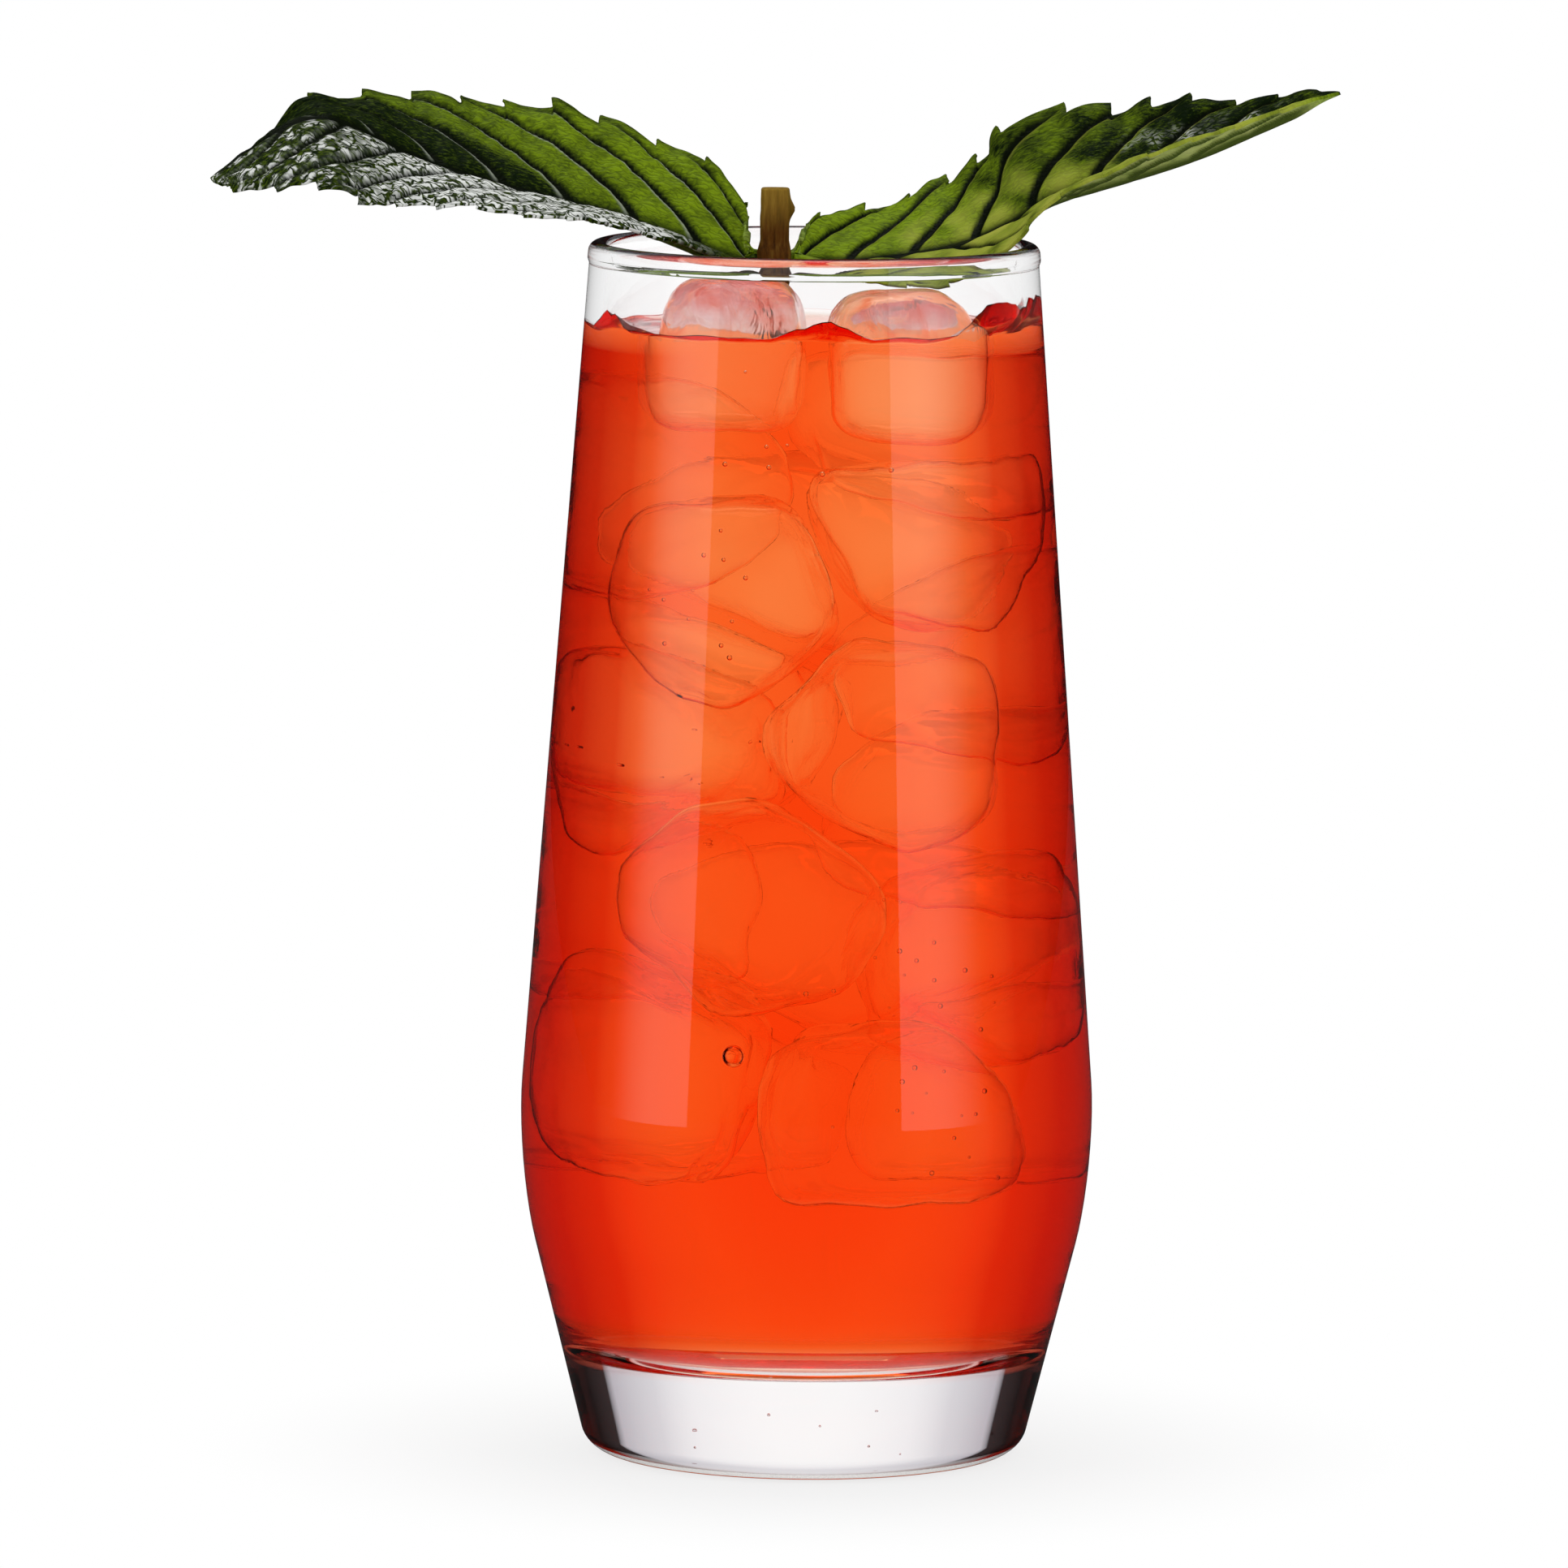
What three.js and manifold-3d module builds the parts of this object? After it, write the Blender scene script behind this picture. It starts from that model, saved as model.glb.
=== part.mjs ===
// A tall tumbler of iced red drink with a sprig of mint across its rim.
// Millimetres, +Z up. The origin is on the tumbler's axis, where its foot meets the table.
import * as THREE from "three";
import { mergeVertices } from "three/addons/utils/BufferGeometryUtils.js";
import { ParametricGeometry } from "three/addons/geometries/ParametricGeometry.js";
import Module from "manifold-3d";

const wasm = await Module();
wasm.setup();

// Clearance that keeps separate pieces apart
const GAP = 0.3;

// Tumbler: two straight tapers that meet at a rounded belly
const HEIGHT = 150;
const RIM_RADIUS = 27.5; // outside, at the lip
const BELLY_RADIUS = 36; // outside, where the two tapers would meet
const BELLY_HEIGHT = 36;
const BELLY_ROUND = 63;
const FOOT_RADIUS = 26.9; // outside, where the lower taper would meet the table
const HEEL_ROUND = 4.6;
const WALL = 2.2;
const FLOOR = 13; // thick clear base under the drink
const FLOOR_ROUND = 5;
const LIP_ROUND = 0.45 * WALL;
const TURN_STEPS = 48; // facets round every turned piece
const ARC_STEPS = 3; // facets along half of a rounded corner

// Drink
const HEADSPACE = 10.5; // lip down to the surface
const FILL = HEIGHT - HEADSPACE;

// Ice: cubes with melted edges
const ICE_EDGE = 18.5;
const ICE_POWER = 4.5; // 2 would be a ball, a large number a sharp cube
const ICE_COVER = 2; // least depth of drink over a buried cube's middle
const ICE_CELLS = 4; // grid on each face of the modelled cube
const ICE_TEST_CELLS = 8; // finer grid that tells when two cubes meet
const ICE_STEP = 0.5; // how far a cube sinks between two tries

// Mint stem: a square stalk that stands upright behind the tumbler's axis
const STEM_X = -4.9;
const STEM_Y = 11;
const STEM_RADIUS = 1.7;
const STEM_POWER = 4; // squareness of its section
const STEM_STEPS = 16;
const STEM_ABOVE = 6; // cut top over the lip
const STEM_BELOW = 12.5; // lower end under the lip
const NODE_BELOW = 3.2; // joint of the leaves, under the lip
const NODE_RADIUS = 2.1;
const NODE_LENGTH = 5;

// Mint leaves
const PETIOLE_RADIUS = 0.9;
const PETIOLE_LENGTH = 2; // straight out from the stem
const BLADE_THICKNESS = 0.8;
const LEAF_TEETH = 13; // along each edge
const TOOTH_DEPTH = 0.1; // as a share of the blade's half width
const LEAF_COLUMNS = 5; // facets across each half of a blade

const degrees = THREE.MathUtils.degToRad;
const lerp = THREE.MathUtils.lerp;

// Value at a share of the way along a list of evenly spaced values
function alongList(values, share) {
  const place = share * (values.length - 1);
  const start = Math.min(Math.floor(place), values.length - 2);
  return lerp(values[start], values[start + 1], place - start);
}

// Profile through [radius, height, round] corners, with a tangent arc at each one that has a round
function roundedProfile(corners) {
  const path = new THREE.Path();
  const points = corners.map(([radius, height]) => new THREE.Vector2(radius, height));
  path.moveTo(points[0].x, points[0].y);
  for (let i = 1; i < points.length - 1; i++) {
    const round = corners[i][2];
    if (!round) {
      path.lineTo(points[i].x, points[i].y);
      continue;
    }
    const back = points[i - 1].clone().sub(points[i]).normalize();
    const onward = points[i + 1].clone().sub(points[i]).normalize();
    const half = Math.acos(back.dot(onward)) / 2;
    const reach = round / Math.tan(half);
    const start = points[i].clone().addScaledVector(back, reach);
    const end = points[i].clone().addScaledVector(onward, reach);
    const middle = back.clone().add(onward).normalize();
    const centre = points[i].clone().addScaledVector(middle, round / Math.sin(half));
    path.lineTo(start.x, start.y);
    path.absarc(
      centre.x,
      centre.y,
      round,
      start.clone().sub(centre).angle(),
      end.clone().sub(centre).angle(),
      back.cross(onward) > 0,
    );
  }
  path.lineTo(points.at(-1).x, points.at(-1).y);
  return path.getPoints(ARC_STEPS);
}

// Turned piece from a profile that starts and ends on the axis
function turned(profile) {
  return new THREE.LatheGeometry(profile, TURN_STEPS).rotateX(Math.PI / 2);
}

// Corners of the tumbler's inside, moved in from the glass by a clearance, up to some height
function insideCorners(inset, top) {
  const belly = BELLY_RADIUS - WALL - inset;
  const floor = FLOOR + inset;
  const foot = FOOT_RADIUS - WALL - inset;
  const rim = RIM_RADIUS - WALL - inset;
  const rise = (top - BELLY_HEIGHT) / (HEIGHT - BELLY_HEIGHT);
  return [
    [0, floor],
    [lerp(foot, belly, floor / BELLY_HEIGHT), floor, FLOOR_ROUND],
    [belly, BELLY_HEIGHT, BELLY_ROUND],
    [lerp(belly, rim, rise), top],
  ];
}

// Radius of the tumbler's inside at a height
const insideProfile = roundedProfile(insideCorners(0, HEIGHT));
function insideRadius(height) {
  const above = insideProfile.findIndex((point) => point.y > height);
  if (above < 1) {
    return above === 0 ? 0 : insideProfile.at(-1).x;
  }
  const low = insideProfile[above - 1];
  const high = insideProfile[above];
  return lerp(low.x, high.x, (height - low.y) / (high.y - low.y));
}

// Solids for cutting, and back again
const MERGE = 1e-4; // points closer than this are one
function toSolid(geometry) {
  const bare = geometry.clone();
  bare.deleteAttribute("normal");
  bare.deleteAttribute("uv");
  const merged = mergeVertices(bare, MERGE);
  const mesh = new wasm.Mesh({
    numProp: 3,
    vertProperties: new Float32Array(merged.attributes.position.array),
    triVerts: new Uint32Array(merged.index.array),
  });
  return new wasm.Manifold(mesh);
}

function toGeometry(solid) {
  const mesh = solid.getMesh();
  const geometry = new THREE.BufferGeometry();
  geometry.setAttribute("position", new THREE.BufferAttribute(mesh.vertProperties, 3));
  geometry.setIndex(new THREE.BufferAttribute(mesh.triVerts, 1));
  geometry.computeVertexNormals();
  return geometry;
}

// Melted cube: a gridded box whose points are drawn onto a rounded form
const roundedNorm = (v, power) =>
  (Math.abs(v.x) ** power + Math.abs(v.y) ** power + Math.abs(v.z) ** power) ** (1 / power);

function meltedCube(half, cells) {
  const geometry = new THREE.BoxGeometry(2, 2, 2, cells, cells, cells);
  const position = geometry.attributes.position;
  const point = new THREE.Vector3();
  for (let i = 0; i < position.count; i++) {
    point.fromBufferAttribute(position, i);
    point.multiplyScalar(half / roundedNorm(point, ICE_POWER));
    position.setXYZ(i, point.x, point.y, point.z);
  }
  return geometry;
}

function pointsOf(geometry) {
  const position = geometry.attributes.position;
  return Array.from({ length: position.count }, (_, i) =>
    new THREE.Vector3().fromBufferAttribute(position, i),
  );
}

// Ice from the surface down: azimuth in degrees from +X towards +Y, and lean and twist in degrees.
// A cube with no twist turns an upright edge to the glass, so four of them make a block.
// A loose cube floats at its own depth inside the rim's bore, so it lifts straight out.
// A buried cube lies against the tumbler's side and rises until it meets the ice above.
const ICE = [
  { name: "ice_front_left", azimuth: 226, lean: [0, 0], twist: -3, depth: 3.2, loose: true },
  { name: "ice_front_right", azimuth: 318, lean: [0, 0], twist: 5, depth: 4.6, loose: true },
  { name: "ice_back_right", azimuth: 45, lean: [7, -5], twist: -4 },
  { name: "ice_01", azimuth: 165, lean: [-6, 5], twist: 6 },
  { name: "ice_02", azimuth: 318, lean: [5, 7], twist: -12 },
  { name: "ice_03", azimuth: 238, lean: [6, 8], twist: -8, depth: 29 },
  { name: "ice_04", azimuth: 8, lean: [4, -9], twist: 4 },
  { name: "ice_05", azimuth: 88, lean: [7, 6], twist: -9 },
  { name: "ice_06", azimuth: 295, lean: [-5, 8], twist: 20 },
  { name: "ice_07", azimuth: 200, lean: [9, -4], twist: -6 },
  { name: "ice_08", azimuth: 127, lean: [-6, -8], twist: 7 },
  { name: "ice_09", azimuth: 30, lean: [5, 9], twist: -3 },
  { name: "ice_10", azimuth: 250, lean: [8, 4], twist: 10 },
  { name: "ice_11", azimuth: 338, lean: [-4, -9], twist: -7 },
  { name: "ice_12", azimuth: 80, lean: [6, 8], twist: 5 },
  { name: "ice_13", azimuth: 165, lean: [-8, 4], twist: -10 },
  { name: "ice_14", azimuth: 295, lean: [6, -8], twist: 6 },
  { name: "ice_15", azimuth: 210, lean: [-9, 6], twist: -4 },
  { name: "ice_16", azimuth: 35, lean: [5, 7], twist: 9 },
  { name: "ice_17", azimuth: 120, lean: [8, -5], twist: -8 },
];

const EDGE_OUT = 45; // turn that points a cube's upright edge along its azimuth
const testPoints = pointsOf(meltedCube(ICE_EDGE / 2, ICE_TEST_CELLS));

// Centre of a cube at a height, pushed out along its azimuth until it is a gap from the glass
function centreAt(cube, height) {
  const angle = degrees(cube.azimuth);
  const out = new THREE.Vector2(Math.cos(angle), Math.sin(angle));
  const reach = cube.offsets.map((offset) => {
    const along = offset.x * out.x + offset.y * out.y;
    const across = offset.y * out.x - offset.x * out.y;
    const bore = insideRadius(cube.loose ? HEIGHT : height + offset.z) - GAP;
    return Math.sqrt(bore * bore - across * across) - along;
  });
  const distance = Math.min(...reach);
  return new THREE.Vector3(out.x * distance, out.y * distance, height);
}

// Whether any point of one cube comes within the gap of another cube
function meets(cube, other) {
  const back = other.turn.clone().invert();
  return cube.offsets.some((offset) => {
    const local = offset.clone().add(cube.centre).sub(other.centre).applyQuaternion(back);
    return roundedNorm(local, ICE_POWER) < ICE_EDGE / 2 + GAP;
  });
}

// Whether a cube comes within the gap of the stem
function meetsStem(cube) {
  return cube.offsets.some((offset) => {
    const point = offset.clone().add(cube.centre);
    const beside = Math.hypot(point.x - STEM_X, point.y - STEM_Y) - NODE_RADIUS * Math.SQRT2;
    return beside < GAP && point.z > HEIGHT - STEM_BELOW - GAP;
  });
}

const ice = [];
for (const piece of ICE) {
  const [leanX, leanY] = piece.lean.map(degrees);
  const yaw = degrees(piece.azimuth + EDGE_OUT + piece.twist);
  const turn = new THREE.Quaternion().setFromEuler(new THREE.Euler(leanX, leanY, yaw, "ZYX"));
  const offsets = testPoints.map((point) => point.clone().applyQuaternion(turn));
  const cube = { ...piece, turn, offsets };
  const isClear = (height) => {
    cube.centre = centreAt(cube, height);
    return !meetsStem(cube) && ice.every((other) => !meets(cube, other) && !meets(other, cube));
  };
  let clear = FILL - (piece.depth ?? ICE_COVER + ICE_EDGE / 2);
  let blocked = clear;
  while (!isClear(clear)) {
    blocked = clear;
    clear -= ICE_STEP;
  }
  while (blocked - clear > GAP / 10) {
    const middle = (blocked + clear) / 2;
    if (isClear(middle)) {
      clear = middle;
    } else {
      blocked = middle;
    }
  }
  cube.centre = centreAt(cube, clear);
  ice.push(cube);
}

function placedCube(cube, half) {
  const geometry = meltedCube(half, ICE_CELLS);
  geometry.applyQuaternion(cube.turn);
  return geometry.translate(cube.centre.x, cube.centre.y, cube.centre.z);
}

// Stem: a turned stalk with a swollen joint, squared by drawing its points in between the corners
const stemTop = HEIGHT + STEM_ABOVE;
const stemBottom = HEIGHT - STEM_BELOW;
const nodeHeight = HEIGHT - NODE_BELOW;

function stemGeometry(extra, top) {
  const stalk = STEM_RADIUS + extra;
  const node = NODE_RADIUS + extra;
  const geometry = new THREE.LatheGeometry(
    [
      new THREE.Vector2(0, stemBottom - extra),
      new THREE.Vector2(stalk, stemBottom - extra),
      new THREE.Vector2(stalk, nodeHeight - NODE_LENGTH / 2),
      new THREE.Vector2(node, nodeHeight - NODE_LENGTH / 4),
      new THREE.Vector2(node, nodeHeight + NODE_LENGTH / 4),
      new THREE.Vector2(stalk, nodeHeight + NODE_LENGTH / 2),
      new THREE.Vector2(stalk, top),
      new THREE.Vector2(0, top),
    ],
    STEM_STEPS,
  ).rotateX(Math.PI / 2);
  const position = geometry.attributes.position;
  for (let i = 0; i < position.count; i++) {
    const flat = new THREE.Vector3(position.getX(i), position.getY(i), 0);
    const length = flat.length();
    if (length > 0) {
      flat.multiplyScalar(length / roundedNorm(flat, STEM_POWER));
      position.setXY(i, flat.x, flat.y);
    }
  }
  return geometry.translate(STEM_X, STEM_Y, 0);
}

// Leaf: a folded blade lofted along its midrib, with a toothed edge and a petiole at its root.
// Its section is a loop that runs over the top from the near edge to the far edge and back below.
function leafGeometry(leaf) {
  const midrib = new THREE.CatmullRomCurve3(leaf.midrib);
  const stations = 2 * LEAF_TEETH;
  const loop = 4 * LEAF_COLUMNS;
  const section = (u, v, target) => {
    const step = Math.round(v * (stations + 1)) - 1;
    const share = Math.max(step, 0) / stations;
    target.copy(midrib.getPointAt(share));
    if (step < 0) {
      return;
    }
    const turn = Math.round((leaf.hand > 0 ? 1 - u : u) * loop) / LEAF_COLUMNS;
    const isTop = turn <= 2;
    const across = isTop ? turn - 1 : 3 - turn;
    const isFar = across > 0;
    const tangent = midrib.getTangentAt(share);
    const side = new THREE.Vector3(0, 1, 0).addScaledVector(tangent, -tangent.y).normalize();
    const normal = new THREE.Vector3().crossVectors(tangent, side).multiplyScalar(leaf.hand);
    const plumb = new THREE.Vector3(0, 0, 1).addScaledVector(side, -side.z).normalize();
    const up = isFar ? normal : plumb; // the near half droops straight down
    const petiole = PETIOLE_RADIUS * (1 - share);
    const tooth = step % 2 === 0 ? 1 - TOOTH_DEPTH : 1;
    const narrow = isFar ? 1 : alongList(leaf.nearWidth, share);
    const swell = leaf.halfWidth * Math.sin(Math.PI * share ** leaf.fullness) ** leaf.bluntness;
    const span = Math.abs(across) * Math.max(swell * tooth * narrow, petiole);
    const fold = degrees(alongList(isFar ? leaf.farFold : leaf.nearFold, share));
    const blade = (BLADE_THICKNESS / 2) * Math.min(1, (1 - share) * stations) * (1 - across ** 2);
    const thick = Math.max(blade, Math.sqrt(Math.max(0, petiole ** 2 - span ** 2)));
    target.addScaledVector(side, Math.sign(across) * span * Math.cos(fold));
    target.addScaledVector(up, span * Math.sin(fold) + (isTop ? thick : -thick));
  };
  return new ParametricGeometry(section, loop, stations + 1);
}

// Midribs start straight out from the stem, then go on to the tip through points given as
// [beyond the rim's outside, depth, rise over the lip]
const leafStart = (hand) =>
  [NODE_RADIUS + GAP, NODE_RADIUS + GAP + PETIOLE_LENGTH].map(
    (out) => new THREE.Vector3(STEM_X + hand * out, STEM_Y, nodeHeight),
  );
const outFromRim = (hand, points) =>
  points.map(([out, depth, rise]) =>
    new THREE.Vector3(hand * (RIM_RADIUS + out), depth, HEIGHT + rise),
  );

const leftLeaf = {
  hand: -1,
  midrib: [
    ...leafStart(-1),
    ...outFromRim(-1, [
      [-11.6, 10.3, -0.4],
      [-2.6, 9, 2.9],
      [5.4, 7, 5],
      [12.4, 5, 7],
      [20.8, 2.5, 10],
      [28.5, -1, 14],
      [33, -3.5, 15.6],
      [37.5, -6, 14.6],
      [42.5, -9.5, 11.4],
      [46.3, -12.5, 8.2],
    ]),
  ],
  halfWidth: 15.6,
  fullness: 0.6, // smaller puts the widest place nearer the root
  bluntness: 0.7, // smaller makes the root and the tip rounder
  farFold: [52, 46, 44, 37, 16, -14, -30], // degrees above level, from the root to the tip
  nearFold: [2, 0, -6, -15, -38, -58, -60],
  nearWidth: [0.4, 0.55, 0.62, 0.68, 0.72, 0.86, 1.32, 1.5, 1.6], // as a share of the far half's
};

const rightLeaf = {
  hand: 1,
  midrib: [
    ...leafStart(1),
    ...outFromRim(1, [
      [-19.6, 10.6, -2.4],
      [-10.6, 10, -0.8],
      [-3.8, 9.3, 2],
      [1.8, 8.5, 5.4],
      [11.7, 6.5, 8.6],
      [19.6, 5, 11.3],
      [27.6, 3.5, 14.8],
      [36.9, 2, 19],
    ]),
  ],
  halfWidth: 16,
  fullness: 0.6,
  bluntness: 0.8,
  farFold: [45, 26, 28, 42, 44, 42, 38, 32],
  nearFold: [-10, -24, -30, -12, 4, 14, 18, 20, 20],
  nearWidth: [0.25, 0.38, 0.54, 0.7, 0.84, 0.95, 1, 1, 1],
};

// Drink: fills the tumbler's inside, less a pocket round each cube and round the stem
let drink = toSolid(turned(roundedProfile([...insideCorners(GAP, FILL), [0, FILL]])));
for (const cube of ice) {
  drink = drink.subtract(toSolid(placedCube(cube, ICE_EDGE / 2 + GAP)));
}
drink = drink.subtract(toSolid(stemGeometry(GAP, stemTop)));

// Tumbler: one pressed piece of glass, foot to lip and down the inside
const tumbler = turned(
  roundedProfile([
    [0, 0],
    [FOOT_RADIUS, 0, HEEL_ROUND],
    [BELLY_RADIUS, BELLY_HEIGHT, BELLY_ROUND],
    [RIM_RADIUS, HEIGHT, LIP_ROUND],
    [RIM_RADIUS - WALL, HEIGHT, LIP_ROUND],
    ...insideCorners(0, HEIGHT).slice(0, -1).reverse(),
  ]),
);

// Assembly
const object = new THREE.Group();
object.name = "mojito_glass";

function add(name, geometry, color, roughness) {
  const material = new THREE.MeshStandardMaterial({ color, roughness, metalness: 0 });
  const mesh = new THREE.Mesh(geometry, material);
  mesh.name = name;
  object.add(mesh);
}

add("tumbler", tumbler, 0xe6eef0, 0.05);
add("drink", toGeometry(drink), 0xf04a14, 0.1);
for (const cube of ice) {
  add(cube.name, placedCube(cube, ICE_EDGE / 2), 0xf4e8e2, 0.15);
}
add("mint_stem", stemGeometry(0, stemTop), 0x7a6a3c, 0.7);
add("mint_leaf_left", leafGeometry(leftLeaf), 0x5d9a26, 0.5);
add("mint_leaf_right", leafGeometry(rightLeaf), 0x4f8a24, 0.5);

export default object;
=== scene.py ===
"""Looks of a tall tumbler of iced red drink with a sprig of mint across its rim.

Metres, +Z up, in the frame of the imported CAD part. The tumbler stands on z = 0.
"""

import math
import random

import bmesh
import bpy
from mathutils import Euler, Matrix, Vector, noise
from mathutils.geometry import interpolate_bezier


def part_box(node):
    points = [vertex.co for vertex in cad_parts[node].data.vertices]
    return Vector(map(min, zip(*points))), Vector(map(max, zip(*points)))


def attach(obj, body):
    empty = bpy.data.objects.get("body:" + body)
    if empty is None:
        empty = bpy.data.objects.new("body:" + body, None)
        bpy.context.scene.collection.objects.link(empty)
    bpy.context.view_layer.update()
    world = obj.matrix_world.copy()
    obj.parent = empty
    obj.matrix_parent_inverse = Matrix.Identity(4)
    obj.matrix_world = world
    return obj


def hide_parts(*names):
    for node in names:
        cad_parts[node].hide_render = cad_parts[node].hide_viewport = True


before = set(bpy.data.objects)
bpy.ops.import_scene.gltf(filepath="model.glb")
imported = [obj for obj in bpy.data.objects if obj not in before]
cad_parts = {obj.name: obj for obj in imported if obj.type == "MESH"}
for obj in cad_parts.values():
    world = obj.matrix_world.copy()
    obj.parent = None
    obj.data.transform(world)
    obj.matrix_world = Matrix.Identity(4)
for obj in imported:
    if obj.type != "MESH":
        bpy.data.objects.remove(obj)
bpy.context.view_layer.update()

scene = bpy.context.scene
scene.view_settings.view_transform = "Standard"

# Camera. It stands well back and a little above the rim, looks slightly down and leans a
# touch to the side, with a lens long enough to keep the tumbler's sides nearly parallel.
CAMERA_PLACE = (0, -1.72638, 0.28355)
CAMERA_YAW = 0.00182
CAMERA_PITCH = 0.11569
CAMERA_ROLL = 0.00886
CAMERA_LENS = 323.1

camera_data = bpy.data.cameras.new("camera")
camera_data.lens = CAMERA_LENS
camera_data.sensor_width = 36
camera = bpy.data.objects.new("camera", camera_data)
camera.matrix_world = (
    Matrix.Translation(CAMERA_PLACE)
    @ Matrix.Rotation(CAMERA_YAW, 4, "Z")
    @ Matrix.Rotation(math.pi / 2 - CAMERA_PITCH, 4, "X")
    @ Matrix.Rotation(CAMERA_ROLL, 4, "Z")
)
scene.collection.objects.link(camera)
scene.camera = camera

# Tumbler. One piece of clear glass, pressed in a mould: a thick base, two straight tapers that
# meet at a rounded belly, and a lip that was melted round. A few seeds are trapped in the base.
MM = 0.001
HEIGHT = 150
RIM_RADIUS = 27.5
BELLY_RADIUS = 36
BELLY_HEIGHT = 36
BELLY_ROUND = 63
FOOT_RADIUS = 26.9
HEEL_ROUND = 3.68
WALL = 2.2
FLOOR = 13
FLOOR_ROUND = 10
FILL = 139.5  # height of the drink, up to which the inside is wet
BEAD_HEIGHT = 2.6  # melted lip, a little thicker than the wall
BEAD_PROUD = 0.2
BEAD_ROUND = 1.2
BEAD_STEP = 0.6  # height over which the wall swells to the lip
PUNT = 0.7  # hollow under the base
PUNT_SHOULDER = (0.5, 0.75)  # shares of the foot's radius and of the hollow's height
PUNT_ROUND = 20
RING_INSIDE = 0.82  # inner edge of the ring it stands on, as a share of the foot's radius
RING_ROUND = 3
ARC_SEGMENTS = 10
TURN_STEPS = 160
SAME_POINT = 0.001  # points closer than this are merged
FACING_UP = 0.5  # a face of the inside floor points up by more than this
SEEDS = (
    # across, depth, height, radius
    (-12.5, -20, 3.9, 0.16),
    (-3.7, -17, 8.6, 0.2),
    (7.4, -21, 4.6, 0.17),
    (10.9, -19, 3.4, 0.12),
    (1.6, -12, 7.2, 0.15),
    (-7.5, 9, 6.1, 0.2),
    (14.2, 6, 5.2, 0.18),
    (4.4, 15, 8.8, 0.14),
)

GLASS_IOR = 1.5
NO_TINT = (1, 1, 1)
# Painted shade: towards its outline the wall round the drink is darkened and reddened, where it would
# show the dark studio through the drink.
DRINK_EDGE_PAINTED_SHADE = (
    # how far the wall turns from the eye, its painted shade with the drink behind it
    (0.1, NO_TINT),
    (0.25, (0.82, 0.27, 0.18)),
    (0.34, (0.6, 0.06, 0.02)),
    (0.54, (0.42, 0.012, 0.003)),
    (0.85, (0.34, 0.006, 0.001)),
)
# Painted shade: towards its outline the base is darkened, where it would show the dark studio round it.
BASE_EDGE_PAINTED_SHADE = (
    # how far the base turns from the eye, its painted shade
    (0.1, NO_TINT),
    (0.2, (0.84, 0.83, 0.86)),
    (0.3, (0.54, 0.53, 0.58)),
    (0.47, (0.34, 0.33, 0.38)),
    (0.51, (0.002, 0.001, 0.001)),
    (0.65, (0.0003, 0.0001, 0.0001)),
    (0.9, (0.006, 0.0003, 0.0002)),
)
BASE_SHADE_FROM = (0.2, 1.8)  # heights between which the painted shade of a part of the wall comes in
DRINK_SHADE_FROM = (FLOOR - 1, FLOOR + 2.5)
LIP_SHADE_FROM = (FILL - 2, FILL + 1)
LIP_SHADE_LINE = (0.01, 0.01, 0.012)  # painted shade: dark line along the lip
LIP_SHADE_TURN = (0.28, 0.5)  # how far the lip turns from the eye where the line sets in
LIP_SHADE_UP = (0.45, 0.75)  # how far it faces up there


def profile_wire(corners):
    """Wire through (radius, height, round) corners, with a tangent arc at each that has a round."""
    wire = bmesh.new()
    points = [Vector((radius, 0, height)) * MM for radius, height, _ in corners]
    verts = [wire.verts.new(point) for point in points]
    for start, end in zip(verts, verts[1:]):
        wire.edges.new((start, end))
    for place, (_, _, rounding) in enumerate(corners):
        if rounding:
            back = points[place - 1] - points[place]
            onward = points[place + 1] - points[place]
            bmesh.ops.bevel(
                wire,
                geom=[verts[place]],
                offset=rounding * MM / math.tan(back.angle(onward) / 2),
                offset_type="OFFSET",
                segments=ARC_SEGMENTS,
                profile=0.5,
                affect="VERTICES",
                material=-1,
            )
    return wire


def turn_on_axis(wire):
    """Spins a wire that starts and ends on the axis into a closed shell."""
    bmesh.ops.spin(
        wire,
        geom=wire.verts[:] + wire.edges[:],
        axis=(0, 0, 1),
        cent=(0, 0, 0),
        angle=2 * math.pi,
        steps=TURN_STEPS,
        use_merge=True,
    )
    bmesh.ops.remove_doubles(wire, verts=wire.verts[:], dist=SAME_POINT * MM)
    bmesh.ops.recalc_face_normals(wire, faces=wire.faces[:])


def inside_corners(inset, top):
    """Corners of the tumbler's inside from the middle of its floor up to some height."""
    belly = BELLY_RADIUS - WALL - inset
    foot = FOOT_RADIUS - WALL - inset
    rim = RIM_RADIUS - WALL - inset
    floor = FLOOR + inset
    heel = foot + (belly - foot) * floor / BELLY_HEIGHT
    rise = (top - BELLY_HEIGHT) / (HEIGHT - BELLY_HEIGHT)
    return [
        (0, floor, 0),
        (heel, floor, FLOOR_ROUND),
        (belly, BELLY_HEIGHT, BELLY_ROUND),
        (belly + (rim - belly) * rise, top, 0),
    ]


def shown_piece(shape, name, *materials):
    """Object with smooth faces from a finished shape."""
    mesh = bpy.data.meshes.new(name)
    shape.to_mesh(mesh)
    shape.free()
    mesh.shade_smooth()
    for material in materials:
        mesh.materials.append(material)
    piece = bpy.data.objects.new(name, mesh)
    scene.collection.objects.link(piece)
    return piece


def add_node(tree, kind, **settings):
    """New node with its plain properties and unlinked inputs set by name."""
    made = tree.nodes.new("ShaderNode" + kind)
    for name, value in settings.items():
        if hasattr(made, name):
            setattr(made, name, value)
        else:
            made.inputs[name.replace("_", " ")].default_value = value
    return made


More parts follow.
